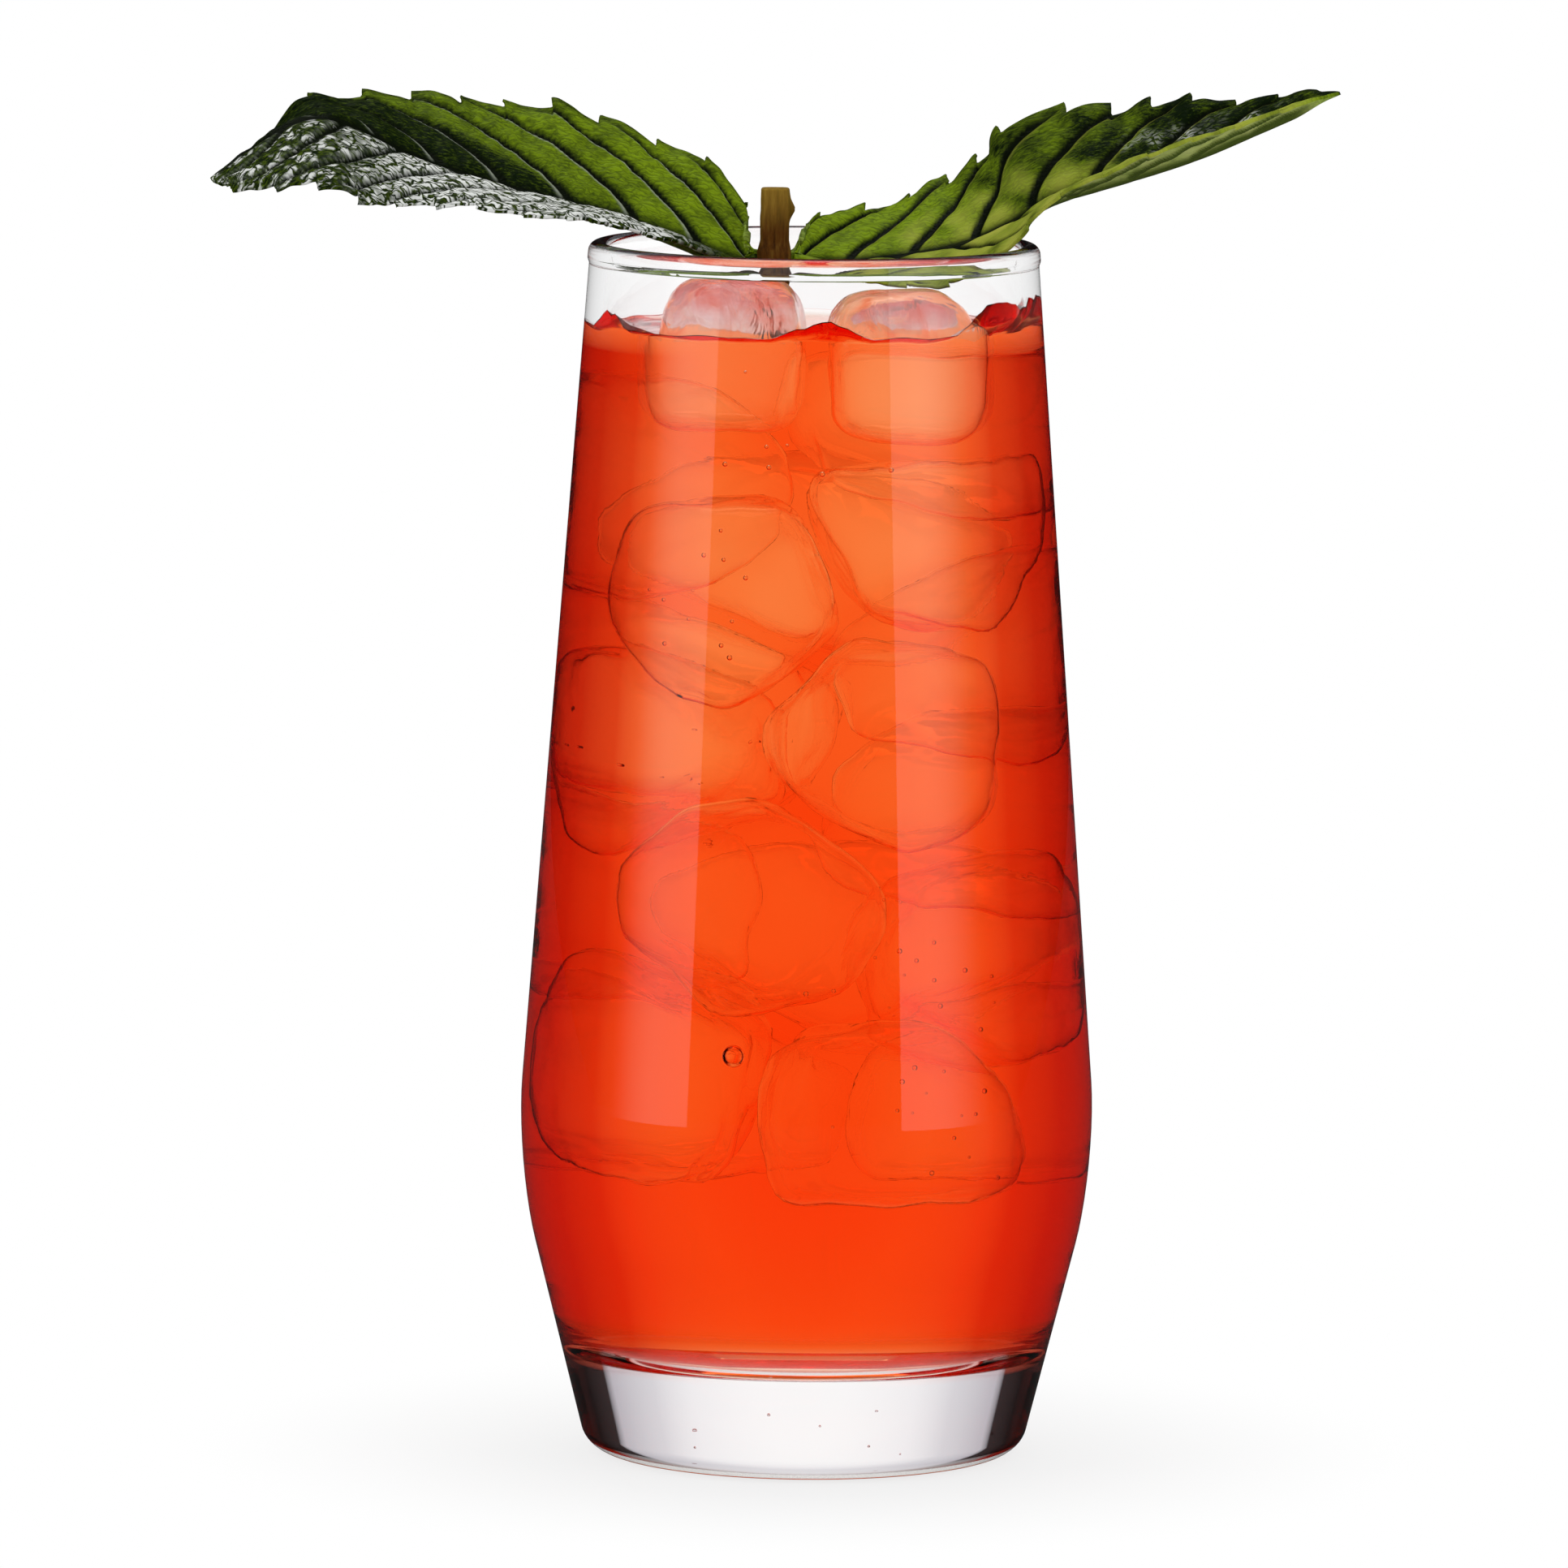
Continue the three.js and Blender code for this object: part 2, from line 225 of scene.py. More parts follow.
def ramp_of(tree, source, stops):
    """Colour ramp fed by a socket, with (place, colour) stops."""
    ramp = tree.nodes.new("ShaderNodeValToRGB")
    elements = ramp.color_ramp.elements
    while len(elements) < len(stops):
        elements.new(1)
    for element, (place, colour) in zip(elements, stops):
        element.position = place
        element.color = (*colour, 1)
    tree.links.new(source, ramp.inputs["Fac"])
    return ramp.outputs["Color"]


def ranged(tree, value, low, high, start=0, end=1, curve="LINEAR"):
    """Value moved from one range to another and held at its ends."""
    move = add_node(
        tree,
        "MapRange",
        interpolation_type=curve,
        From_Min=low,
        From_Max=high,
        To_Min=start,
        To_Max=end,
    )
    tree.links.new(value, move.inputs["Value"])
    return move.outputs["Result"]


def maths(tree, operation, *values, clamp=False):
    """Result of a sum whose values are sockets or plain numbers."""
    step = add_node(tree, "Math", operation=operation, use_clamp=clamp)
    for socket, value in zip(step.inputs, values):
        if isinstance(value, (int, float)):
            socket.default_value = value
        else:
            tree.links.new(value, socket)
    return step.outputs["Value"]


def mixed(tree, factor, base, tint, blend="MIX"):
    """Colour taken towards another by a factor; each of the two is a socket or a plain colour."""
    mix = add_node(tree, "Mix", data_type="RGBA", blend_type=blend)
    tree.links.new(factor, mix.inputs["Factor"])
    for socket, colour in ((mix.inputs[6], base), (mix.inputs[7], tint)):
        if isinstance(colour, tuple):
            socket.default_value = (*colour, 1)
        else:
            tree.links.new(colour, socket)
    return mix.outputs[2]


def axis_part(tree, kind, vector, axis):
    """One axis of a vector that an input node gives."""
    source = add_node(tree, kind)
    parts = add_node(tree, "SeparateXYZ")
    tree.links.new(source.outputs[vector], parts.inputs["Vector"])
    return parts.outputs[axis]


def glass_material(name, ior, gloss):
    """Clear material that refracts, with a given strength of mirror reflection."""
    material = bpy.data.materials.new(name)
    material.use_nodes = True
    surface = material.node_tree.nodes["Principled BSDF"]
    surface.inputs["Base Color"].default_value = (1, 1, 1, 1)
    surface.inputs["Roughness"].default_value = 0
    surface.inputs["IOR"].default_value = ior
    surface.inputs["Transmission Weight"].default_value = 1
    surface.inputs["Specular Tint"].default_value = (gloss, gloss, gloss, 1)
    return material


wetted_glass = glass_material("wetted_glass", GLASS_IOR, 0)
clear_glass = glass_material("clear_glass", GLASS_IOR, 1)
skin = clear_glass.node_tree
grazing = add_node(skin, "LayerWeight", Blend=0.5).outputs["Facing"]
wall_height = axis_part(skin, "TexCoord", "Object", "Z")
faces_up = axis_part(skin, "NewGeometry", "Normal", "Z")


def painted_shade_above(heights, below, above):
    """Painted shade of the wall that goes over into another one between two heights."""
    low, high = heights
    return mixed(skin, ranged(skin, wall_height, low * MM, high * MM), below, above)


# Painted shade: a dark line where the lip turns from the eye and faces up.
lip_turn = ranged(skin, grazing, *LIP_SHADE_TURN)
lip_top = ranged(skin, faces_up, *LIP_SHADE_UP)
lip_painted_shade = mixed(skin, maths(skin, "MULTIPLY", lip_turn, lip_top), NO_TINT, LIP_SHADE_LINE)
# Painted shade on the glass, by how far each part turns from the eye and by height.
base_painted_shade = painted_shade_above(BASE_SHADE_FROM, NO_TINT, ramp_of(skin, grazing, BASE_EDGE_PAINTED_SHADE))
drink_painted_shade = painted_shade_above(DRINK_SHADE_FROM, base_painted_shade, ramp_of(skin, grazing, DRINK_EDGE_PAINTED_SHADE))
skin_painted_shade = painted_shade_above(LIP_SHADE_FROM, drink_painted_shade, lip_painted_shade)
skin.links.new(skin_painted_shade, skin.nodes["Principled BSDF"].inputs["Base Color"])

WALL_TAPER = (BELLY_RADIUS - RIM_RADIUS) / (HEIGHT - BELLY_HEIGHT)
FOOT_TAPER = (BELLY_RADIUS - FOOT_RADIUS) / BELLY_HEIGHT
neck = HEIGHT - BEAD_HEIGHT
neck_radius = RIM_RADIUS + WALL_TAPER * BEAD_HEIGHT
glass = profile_wire(
    [
        (0, PUNT, 0),
        (FOOT_RADIUS * PUNT_SHOULDER[0], PUNT * PUNT_SHOULDER[1], PUNT_ROUND),
        (FOOT_RADIUS * RING_INSIDE, 0, RING_ROUND),
        (FOOT_RADIUS, 0, HEEL_ROUND),
        (BELLY_RADIUS, BELLY_HEIGHT, BELLY_ROUND),
        (neck_radius, neck, BEAD_STEP),
        (neck_radius + BEAD_PROUD, neck + BEAD_STEP, BEAD_STEP),
        (RIM_RADIUS + BEAD_PROUD, HEIGHT, BEAD_ROUND),
        (RIM_RADIUS - WALL - BEAD_PROUD, HEIGHT, BEAD_ROUND),
        (neck_radius - WALL - BEAD_PROUD, neck + BEAD_STEP, BEAD_STEP),
        (neck_radius - WALL, neck, BEAD_STEP),
    ]
    + inside_corners(0, HEIGHT)[-2::-1]
)
turn_on_axis(glass)
for face in glass.faces:
    centre = face.calc_center_median()
    is_inside = face.normal.xy.dot(centre.xy) < 0 or face.normal.z > FACING_UP
    face.material_index = 1 if is_inside and centre.z < FILL * MM else 0
for across, depth, height, radius in SEEDS:
    seed = bmesh.ops.create_icosphere(
        glass,
        subdivisions=2,
        radius=radius * MM,
        matrix=Matrix.Translation(Vector((across, depth, height)) * MM),
    )
    bmesh.ops.reverse_faces(glass, faces=list({face for v in seed["verts"] for face in v.link_faces}))
tumbler = shown_piece(glass, "tumbler_glass", clear_glass, wetted_glass)
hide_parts("tumbler")
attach(tumbler, "glass")

# Ice. Twenty lumps of clear ice, melted to fit round each other: flat where they lie face to face,
# round along their edges, wavy where the drink has washed them. Two still stand up square and float
# loose at the top; the rest are wedged under them against the glass.
ICE_HALF = 9.25
ICE_POWER = 4  # 2 would be a ball, a large number a sharp cube
ICE_CUTS = 19  # cuts across each face
ICE_GROWTH = 1.55  # how far a sunk lump may reach, next to a square one
ICE_APART = 0.6  # drink between two lumps
ICE_TO_GLASS = 1.3
ICE_TOP = 136.8  # sunk ice stays under the surface and the stem
ICE_BOTTOM = 34  # the drink's foot is clear of ice
ICE_ROUNDS = 12  # times that the edges are smoothed
ICE_MELT = 0.16  # how far the waves go in, as a share of a lump's reach
ICE_WAVES = (
    # depth, fineness, shift from lump to lump
    (0.4, 1.3, 3),
    (0.12, 3.4, 5),
)
WALL_PLANES = 36  # flat faces that stand for the round wall
FLOAT_RISE = 1.2  # how much higher a floating lump stands than a square one
FLOAT_PASSES = (0, 10, 20, 30)  # heights at which a floating lump goes past the others
EDGE_OUT = 45  # turn that points a cube's upright edge at the glass
ICE_CUBES = (
    # node, body, azimuth, lean about x, lean about y, twist
    ("ice_front_left", "left_ice", 226, 0, 0, -3),
    ("ice_front_right", "right_ice", 318, 0, 0, 5),
    ("ice_back_right", "glass", 45, 7, -5, -4),
    ("ice_01", "glass", 165, -6, 5, 6),
    ("ice_02", "glass", 318, 5, 7, -12),
    ("ice_03", "glass", 238, 6, 8, -8),
    ("ice_04", "glass", 8, 4, -9, 4),
    ("ice_05", "glass", 88, 7, 6, -9),
    ("ice_06", "glass", 295, -5, 8, 20),
    ("ice_07", "glass", 200, 9, -4, -6),
    ("ice_08", "glass", 127, -6, -8, 7),
    ("ice_09", "glass", 30, 5, 9, -3),
    ("ice_10", "glass", 250, 8, 4, 10),
    ("ice_11", "glass", 338, -4, -9, -7),
    ("ice_12", "glass", 80, 6, 8, 5),
    ("ice_13", "glass", 165, -8, 4, -10),
    ("ice_14", "glass", 295, 6, -8, 6),
    ("ice_15", "glass", 210, -9, 6, -4),
    ("ice_16", "glass", 35, 5, 7, 9),
    ("ice_17", "glass", 120, 8, -5, -8),
)

ICE_IOR = 1.328
STAIN = (0.999, 0.54, 0.1, 1)  # colour that the drink gives to what is in it
ICE_STAIN_DENSITY = 52
DEEP_STAIN_DENSITY = 78  # the lower lumps have lain in the drink for longer
DEEP_HEIGHT = 84
FLOATING_TINT = (1, 0.84, 0.78, 1)
FROST = (
    # thickness of the frost, its colour over the red drink
    (0.3, (0.94, 0.28, 0.17)),
    (0.43, (0.99, 0.72, 0.65)),
    (0.55, (1, 0.98, 0.97)),
)


def clear_body(name, ior, density):
    """Clear material under the surface, with a stain that deepens with thickness."""
    material = glass_material(name, ior, 0)
    tree = material.node_tree
    body = add_node(tree, "VolumeAbsorption", Color=STAIN, Density=density)
    tree.links.new(body.outputs["Volume"], tree.nodes["Material Output"].inputs["Volume"])
    return material


def stretched_noise(tree, stretch, turn=(0, 0, 0), **settings):
    """Noise in the object's own coordinates, finer along some axes than along others."""
    place = add_node(tree, "TexCoord")
    mapping = add_node(tree, "Mapping", Scale=stretch, Rotation=turn)
    cloud = add_node(tree, "TexNoise", Scale=1, **settings)
    tree.links.new(place.outputs["Object"], mapping.inputs["Vector"])
    tree.links.new(mapping.outputs["Vector"], cloud.inputs["Vector"])
    return cloud.outputs["Fac"]


def add_relief(tree, height, strength, distance):
    """Fine relief on a material's surface."""
    bump = add_node(tree, "Bump", Strength=strength, Distance=distance)
    tree.links.new(height, bump.inputs["Height"])
    tree.links.new(bump.outputs["Normal"], tree.nodes["Principled BSDF"].inputs["Normal"])


sunk_ice = clear_body("sunk_ice", ICE_IOR, ICE_STAIN_DENSITY)
deep_ice = clear_body("deep_ice", ICE_IOR, DEEP_STAIN_DENSITY)
floating_ice = glass_material("floating_ice", ICE_IOR, 1)
floating_ice.node_tree.nodes["Principled BSDF"].inputs["Base Color"].default_value = FLOATING_TINT

frosted_ice = glass_material("frosted_ice", ICE_IOR, 1)
frost = frosted_ice.node_tree
frost_surface = frost.nodes["Principled BSDF"]
frost_surface.inputs["Roughness"].default_value = 0.12
frost_surface.inputs["Transmission Weight"].default_value = 0.82
frost_cloud = stretched_noise(
    frost, (260, 260, 120), (0.4, 0.3, 0), Detail=3, Roughness=0.55, Distortion=0.8
)
frost.links.new(ramp_of(frost, frost_cloud, FROST), frost_surface.inputs["Base Color"])
add_relief(frost, frost_cloud, 0.35, 0.001)


def cube_frame(cube):
    """Centre of a cube's CAD node in millimetres, and its turn."""
    node, _, azimuth, lean_x, lean_y, twist = cube
    low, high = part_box(node)
    angles = (math.radians(lean_x), math.radians(lean_y), math.radians(azimuth + EDGE_OUT + twist))
    return (low + high) / 2 / MM, Euler(angles, "XYZ").to_matrix()


ICE_FRAMES = {cube[0]: cube_frame(cube) for cube in ICE_CUBES}


def planes_round(node):
    """Planes that hold a sunk lump in: which way each one faces, and how far out it lies."""
    centre = ICE_FRAMES[node][0]
    planes = [(Vector((0, 0, 1)), ICE_TOP - centre.z), (Vector((0, 0, -1)), centre.z - ICE_BOTTOM)]
    for step in range(WALL_PLANES):
        angle = math.tau * step / WALL_PLANES
        for taper in (WALL_TAPER, -FOOT_TAPER):
            way = Vector((math.cos(angle), math.sin(angle), taper))
            reach = BELLY_RADIUS - WALL - ICE_TO_GLASS + taper * BELLY_HEIGHT - way.dot(centre)
            planes.append((way.normalized(), reach / way.length))
    for other, body, *_ in ICE_CUBES:
        for lift in (0,) if body == "glass" else FLOAT_PASSES:
            gap = ICE_FRAMES[other][0] + Vector((0, 0, lift)) - centre
            if other != node:
                planes.append((gap.normalized(), gap.length / 2 - ICE_APART / 2))
    return planes


ICE_PLANES = {cube[0]: planes_round(cube[0]) if cube[1] == "glass" else [] for cube in ICE_CUBES}


def lump_reach(node, way):
    """How far a lump comes from its centre in one direction."""
    local = ICE_FRAMES[node][1].inverted() @ way
    reach = ICE_HALF / sum(abs(part) ** ICE_POWER for part in local) ** (1 / ICE_POWER)
    if ICE_PLANES[node]:
        reach *= ICE_GROWTH
    return min([reach] + [limit / way.dot(face) for face, limit in ICE_PLANES[node] if way.dot(face) > 0])


def ice_lump(node):
    """Cube drawn out to a lump's reach, then smoothed and waved by melting."""
    centre, turn = ICE_FRAMES[node]
    shape = bmesh.new()
    bmesh.ops.create_cube(shape, size=2)
    bmesh.ops.subdivide_edges(shape, edges=shape.edges[:], cuts=ICE_CUTS, use_grid_fill=True)
    for vert in shape.verts:
        way = (turn @ vert.co).normalized()
        vert.co = way * lump_reach(node, way)
    for _ in range(ICE_ROUNDS if ICE_PLANES[node] else 1):
        bmesh.ops.smooth_vert(
            shape, verts=shape.verts[:], factor=0.5, use_axis_x=True, use_axis_y=True, use_axis_z=True
        )
    for vert in shape.verts:
        if not ICE_PLANES[node] and vert.co.z > 0:
            vert.co.z *= FLOAT_RISE
        wave = 0.5
        for depth, fineness, shift in ICE_WAVES:
            wave += depth * noise.noise((vert.co * fineness + centre * shift) / ICE_HALF)
        vert.co = (centre + vert.co * (1 - ICE_MELT * wave)) * MM
    shape.normal_update()
    return shape


for node, body, *_ in ICE_CUBES:
    shape = ice_lump(node)
    if body == "glass":
        is_deep = ICE_FRAMES[node][0].z < DEEP_HEIGHT
        ice = shown_piece(shape, node + "_cube", deep_ice if is_deep else sunk_ice)
    else:
        for face in shape.faces:
            face.material_index = 1 if face.calc_center_median().z > FILL * MM else 0
        ice = shown_piece(shape, node + "_cube", floating_ice, frosted_ice)
    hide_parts(node)
    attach(ice, body)

# Drink. Clear orange-red liquid poured round the ice to a finger's width under the lip. It wets
# the glass, so it climbs the wall a little, and at three places wet slush is heaped against the
# wall. Some air bubbles hang in it.
WETTING = 0.15  # how far the liquid's skin lies inside the glass and the ice
CLIMB = 0.7  # height of the curve where the surface meets the wall
CLIMB_CURVE = ((0.6, 0.5), (1.3, 0.15), (2, 0), (3, 0), (4, 0), (5, 0))  # in from the wall, share up
SURFACE_RINGS = 10  # rings of points from the middle of the surface to the wall
INNER_RINGS = 7  # those that lie inside the curve
RIPPLE = 0.35
RIPPLE_FINENESS = 240
DRINK_IOR = 1.345
DRINK_DENSITY = 103
HEAP_WIDTH = 5  # how far from the wall the drink starts to rise to a heap
HEAP_LEAN = 0.003  # how far a heap leans in, as a share of the radius for each millimetre
HEAPS = (
    # wet slush heaped against the wall: middle in degrees from +X, half width, height, squareness
    (-20, 29, 4.4, 4),
    (-88, 13, 2.6, 1.2),
    (-157, 9, 2.4, 2),
)
HEAP_MEAN = 0.8
HEAP_RAGS = (
    # how much a heap's height varies round the wall, fineness, place in the noise
    (0.3, 0.07, 5),
    (0.25, 0.3, 2),
)
BUBBLE = (-8.6, -29.2, 53, 1.4)  # across, depth, height, radius
FROTH = (
    # degrees from +X, height, spread, number of small bubbles on the wall
    (-62, 62, 7, 22),
    (-66, 45, 6, 16),
    (-113, 107, 5, 16),
    (-86, 130, 5, 8),
    (118, 84, 9, 14),
    (40, 60, 9, 14),
)
FROTH_SEED = 5
FROTH_RADII = (0.16, 0.36)
FROTH_TO_GLASS = 0.3
FROTH_TO_ICE = 0.8  # as a share of a bubble's radius
FROTH_APART = 1.8
SHARP_ANGLE = 35  # where the surface meets a lump it breaks off sharply

red_drink = clear_body("red_drink", DRINK_IOR, DRINK_DENSITY)

corners = inside_corners(-WETTING, FILL + CLIMB)
wall = corners[-1][0]
liquid = profile_wire(
    corners
    + [(wall - inward, FILL + share * CLIMB, 0) for inward, share in CLIMB_CURVE]
    + [(wall * ring / SURFACE_RINGS, FILL, 0) for ring in range(INNER_RINGS, -1, -1)]
)
turn_on_axis(liquid)
for vert in liquid.verts:
    if vert.co.z > (FILL - SAME_POINT) * MM:
        ripple = RIPPLE * noise.noise(vert.co * RIPPLE_FINENESS)
        angle = math.degrees(math.atan2(vert.co.y, vert.co.x))
        ragged = HEAP_MEAN
        for height, fineness, shift in HEAP_RAGS:
            ragged += height * noise.noise(Vector((angle * fineness, 0, shift)))
        at_wall = max(0, 1 - (wall - vert.co.xy.length / MM) / HEAP_WIDTH)
        heap = sum(
            height * max(0, 1 - abs((angle - middle) / half) ** squareness)
            for middle, half, height, squareness in HEAPS
        )
        heap *= ragged * at_wall
        vert.co.z += (ripple + heap) * MM
        vert.co.xy *= 1 - HEAP_LEAN * heap
drink = shown_piece(liquid, "drink_body", red_drink)

hollows = bmesh.new()
for cube in ICE_CUBES:
    pocket = ice_lump(cube[0])
    for vert in pocket.verts:
        vert.co -= vert.normal * WETTING * MM
    pocket_mesh = bpy.data.meshes.new("pocket")
    pocket.to_mesh(pocket_mesh)
    pocket.free()
    hollows.from_mesh(pocket_mesh)
    bpy.data.meshes.remove(pocket_mesh)


def is_clear_of_ice(point, room):
    """Whether a point in metres stays a given room in millimetres away from every cube."""
    for node, (centre, _) in ICE_FRAMES.items():
        away = point / MM - centre
        if away.length < lump_reach(node, away.normalized()) + room:
            return False
    return True


def add_bubble(place, radius, subdivisions):
    """Round hollow in the drink."""
    bmesh.ops.create_icosphere(
        hollows,
        subdivisions=subdivisions,
        radius=radius * MM,
        matrix=Matrix.Translation(place),
    )


add_bubble(Vector(BUBBLE[:3]) * MM, BUBBLE[3], 4)
chance = random.Random(FROTH_SEED)
taken = [Vector(BUBBLE[:3]) * MM]
for azimuth, height, spread, number in FROTH:
    for _ in range(number):
        radius = chance.uniform(*FROTH_RADII)
        rise = height + chance.gauss(0, spread)
        inside = BELLY_RADIUS - WALL - (rise - BELLY_HEIGHT) * WALL_TAPER
        angle = math.radians(azimuth) + chance.gauss(0, spread) / inside
        out = inside - radius - FROTH_TO_GLASS
        place = Vector((out * math.cos(angle), out * math.sin(angle), rise)) * MM
        is_apart = all((place - other).length > FROTH_APART * MM for other in taken)
        if is_apart and is_clear_of_ice(place, FROTH_TO_ICE * radius):
            add_bubble(place, radius, 2)
            taken.append(place)
cutter = shown_piece(hollows, "hollows")
carve = drink.modifiers.new("hollows", "BOOLEAN")
carve.operation = "DIFFERENCE"
carve.solver = "MANIFOLD"
carve.object = cutter
carved = bpy.data.meshes.new_from_object(drink.evaluated_get(bpy.context.evaluated_depsgraph_get()))
drink.modifiers.clear()
drink.data = carved
carved.name = "drink_body"
carved.shade_smooth()
carved.set_sharp_from_angle(angle=math.radians(SHARP_ANGLE))
bpy.data.objects.remove(cutter)
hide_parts("drink")
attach(drink, "glass")

# Mint stem. A short square stalk, brown-green and fibrous, cut straight across at the top, with
# the swollen joint that carries both leaves. Its lower end stands in the drink.
STEM_X = -4.9
STEM_Y = 11
STEM_RADIUS = 1.75
STEM_POWER = 4  # squareness of its section
STEM_TOP = 156
STEM_BOTTOM = 137.6
STEM_EDGE = 0.3  # rounding of its cut ends
PITH_SINK = 0.35  # how far the soft middle of the cut has sunk in
PITH_SHARE = 0.5
PITH_ROUND = 0.4
JOINT_HEIGHT = 146.8
JOINT_RADIUS = 2.1
JOINT_LENGTH = 5
JOINT_ROUND = 1.2
JOINT_HOLLOW = 1.5  # rounding where the joint goes over into the stalk
BUD_HEIGHT = 153.3  # knob of a bud on the right, under the cut
BUD_LENGTH = 1.1
BUD_PROUD = 0.8
BUD_POWER = 3  # how narrow the knob is round the stalk
BUD_RINGS = (4.5, 4, 3.5, 3, 2.5, 2, 1.5)  # rings of points that shape it, down from the cut
KNOTS = ((0.05, 900), (0.09, 260))  # unevenness as a share of the radius, fineness
BARK = (
    # fibre's place between its dark and light strands, colour
    (0.3, (0.035, 0.011, 0.001)),
    (0.5, (0.11, 0.04, 0.004)),
    (0.7, (0.2, 0.1, 0.015)),
)
GREEN_TOP = (0.22, 0.16, 0.02)  # olive-green that the top end adds to the bark's colour
GREEN_LENGTH = 5.5
GREEN_SHARE = 0.75

stalk_bark = bpy.data.materials.new("stalk_bark")
stalk_bark.use_nodes = True
bark = stalk_bark.node_tree
bark_surface = bark.nodes["Principled BSDF"]
bark_surface.inputs["Roughness"].default_value = 0.6
bark_surface.inputs["Specular IOR Level"].default_value = 0.06
bark_fibre = stretched_noise(bark, (1400, 1400, 160), Detail=4, Roughness=0.65)
bark_height = axis_part(bark, "TexCoord", "Object", "Z")
bark_top = ranged(bark, bark_height, (STEM_TOP - GREEN_LENGTH) * MM, STEM_TOP * MM, 0, GREEN_SHARE)
bark_colour = mixed(bark, bark_top, ramp_of(bark, bark_fibre, BARK), GREEN_TOP, "ADD")
bark.links.new(bark_colour, bark_surface.inputs["Base Color"])
add_relief(bark, bark_fibre, 0.6, 0.0003)

stalk = profile_wire(
    [
        (0, STEM_BOTTOM, 0),
        (STEM_RADIUS, STEM_BOTTOM, STEM_EDGE),
        (STEM_RADIUS, JOINT_HEIGHT - JOINT_LENGTH / 2, JOINT_HOLLOW),
        (JOINT_RADIUS, JOINT_HEIGHT - JOINT_LENGTH / 4, JOINT_ROUND),
        (JOINT_RADIUS, JOINT_HEIGHT + JOINT_LENGTH / 4, JOINT_ROUND),
        (STEM_RADIUS, JOINT_HEIGHT + JOINT_LENGTH / 2, JOINT_HOLLOW),
        *((STEM_RADIUS, STEM_TOP - below, 0) for below in BUD_RINGS),
        (STEM_RADIUS, STEM_TOP, STEM_EDGE),
        (STEM_RADIUS * PITH_SHARE, STEM_TOP - PITH_SINK, PITH_ROUND),
        (0, STEM_TOP - PITH_SINK, 0),
    ]
)
turn_on_axis(stalk)
for vert in stalk.verts:
    flat = vert.co.xy
    if flat.length > 0:
        norm = sum(abs(part) ** STEM_POWER for part in flat) ** (1 / STEM_POWER)
        knots = sum(height * noise.noise(vert.co * fineness) for height, fineness in KNOTS)
        from_bud = (vert.co.z / MM - BUD_HEIGHT) / BUD_LENGTH
        bud = BUD_PROUD * MM * math.exp(-(from_bud**2)) * max(flat.normalized().x, 0) ** BUD_POWER
        vert.co.xy = flat * (flat.length / norm) * (1 + knots)
        vert.co.x += bud
bmesh.ops.translate(stalk, verts=stalk.verts[:], vec=Vector((STEM_X, STEM_Y, 0)) * MM)
stem = shown_piece(stalk, "mint_stem_stalk", stalk_bark)
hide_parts("mint_stem")
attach(stem, "sprig")

# Mint leaves. Two opposite blades from the same joint lie across the rim. Each is folded along
# its midrib, quilted between its veins, toothed along its edge and paler underneath.
LEAF_ACROSS = 72
LEAF_ALONG = 300
LEAF_THICKNESS = 0.4
LEAF_GAP = 0.3  # petiole's root to the stem
PETIOLE_RADIUS = 0.9
PETIOLE_LENGTH = 2
LEAF_BODY = 2 * PETIOLE_RADIUS  # greatest thickness, at the root
BLADE_FROM = (1.2, 4)  # half widths between which the petiole goes over into the blade
MIDRIB_STEPS = 30  # points between two of the midrib's given points
MIDRIB_WIDTH = 0.7
TEETH = 13
TOOTH_FRONT = 0.1  # share of a tooth's length that its steep front takes
TOOTH_LEAN = 0.7  # how far its point leans to the leaf's tip
VEINS = 9  # side veins along each half
VEIN_DEPTH = 0.3
VEIN_WIDTH = 0.8
VEIN_BEND = 1.25  # 1 would be a straight vein
VEIN_BACK = (0.055, 0.02)  # how far back the first vein starts, on the near and the far half
VEIN_DARK = 1.4  # over 1, so that its dark line has a firm edge
GLEAM_FROM_VEIN = 1.12  # painted highlight in a line beside each vein
GLEAM_WIDTH = 0.36
QUILT_HEIGHT = 0.45
QUILT_WIDTH = 2.2  # from a vein to where the quilting is highest
QUILT_POWER = 0.8
PUCKER_HEIGHT = 0.22
PUCKER_FINENESS = 0.55
RUFFLE_HEIGHT = 0.5
RUFFLES = 4.3  # waves along the edge
FINE_RUFFLES = 9.7
FINE_RUFFLE_HEIGHT = 0.6  # next to the other waves
NEAR_RUFFLE_HEIGHT = 0.3  # next to the far half

LEFT_LEAF = {
    "hand": -1,
    # out beyond the rim, depth, rise over the lip
    "midrib": (
        (-11.6, 10.3, -0.4),
        (-2.6, 9, 2.9),
        (5.4, 7, 5),
        (12.4, 5, 7),
        (20.8, 2.5, 10),
        (28.5, -1, 14),
        (33, -3.5, 15.6),
        (37.5, -6, 14.6),
        (42.5, -9.5, 11.4),
        (46.3, -12.5, 8.2),
    ),
    "half_width": 15.6,
    "fullness": 0.6,
    "bluntness": 0.7,
    # degrees above level, root to tip
    "far_fold": (52, 46, 44, 37, 16, -14, -30),
    "near_fold": (2, 0, -6, -15, -38, -58, -60),
    "near_width": (0.4, 0.55, 0.62, 0.68, 0.72, 0.86, 1.32, 1.5, 1.6),
    "tooth_depth": 0.1,
    "vein_sweep": 0.3,  # how far a side vein runs forward on its way to the edge
    "vein_gleam": (0.2, 0.9),  # painted highlights beside the veins of the near and the far half
}
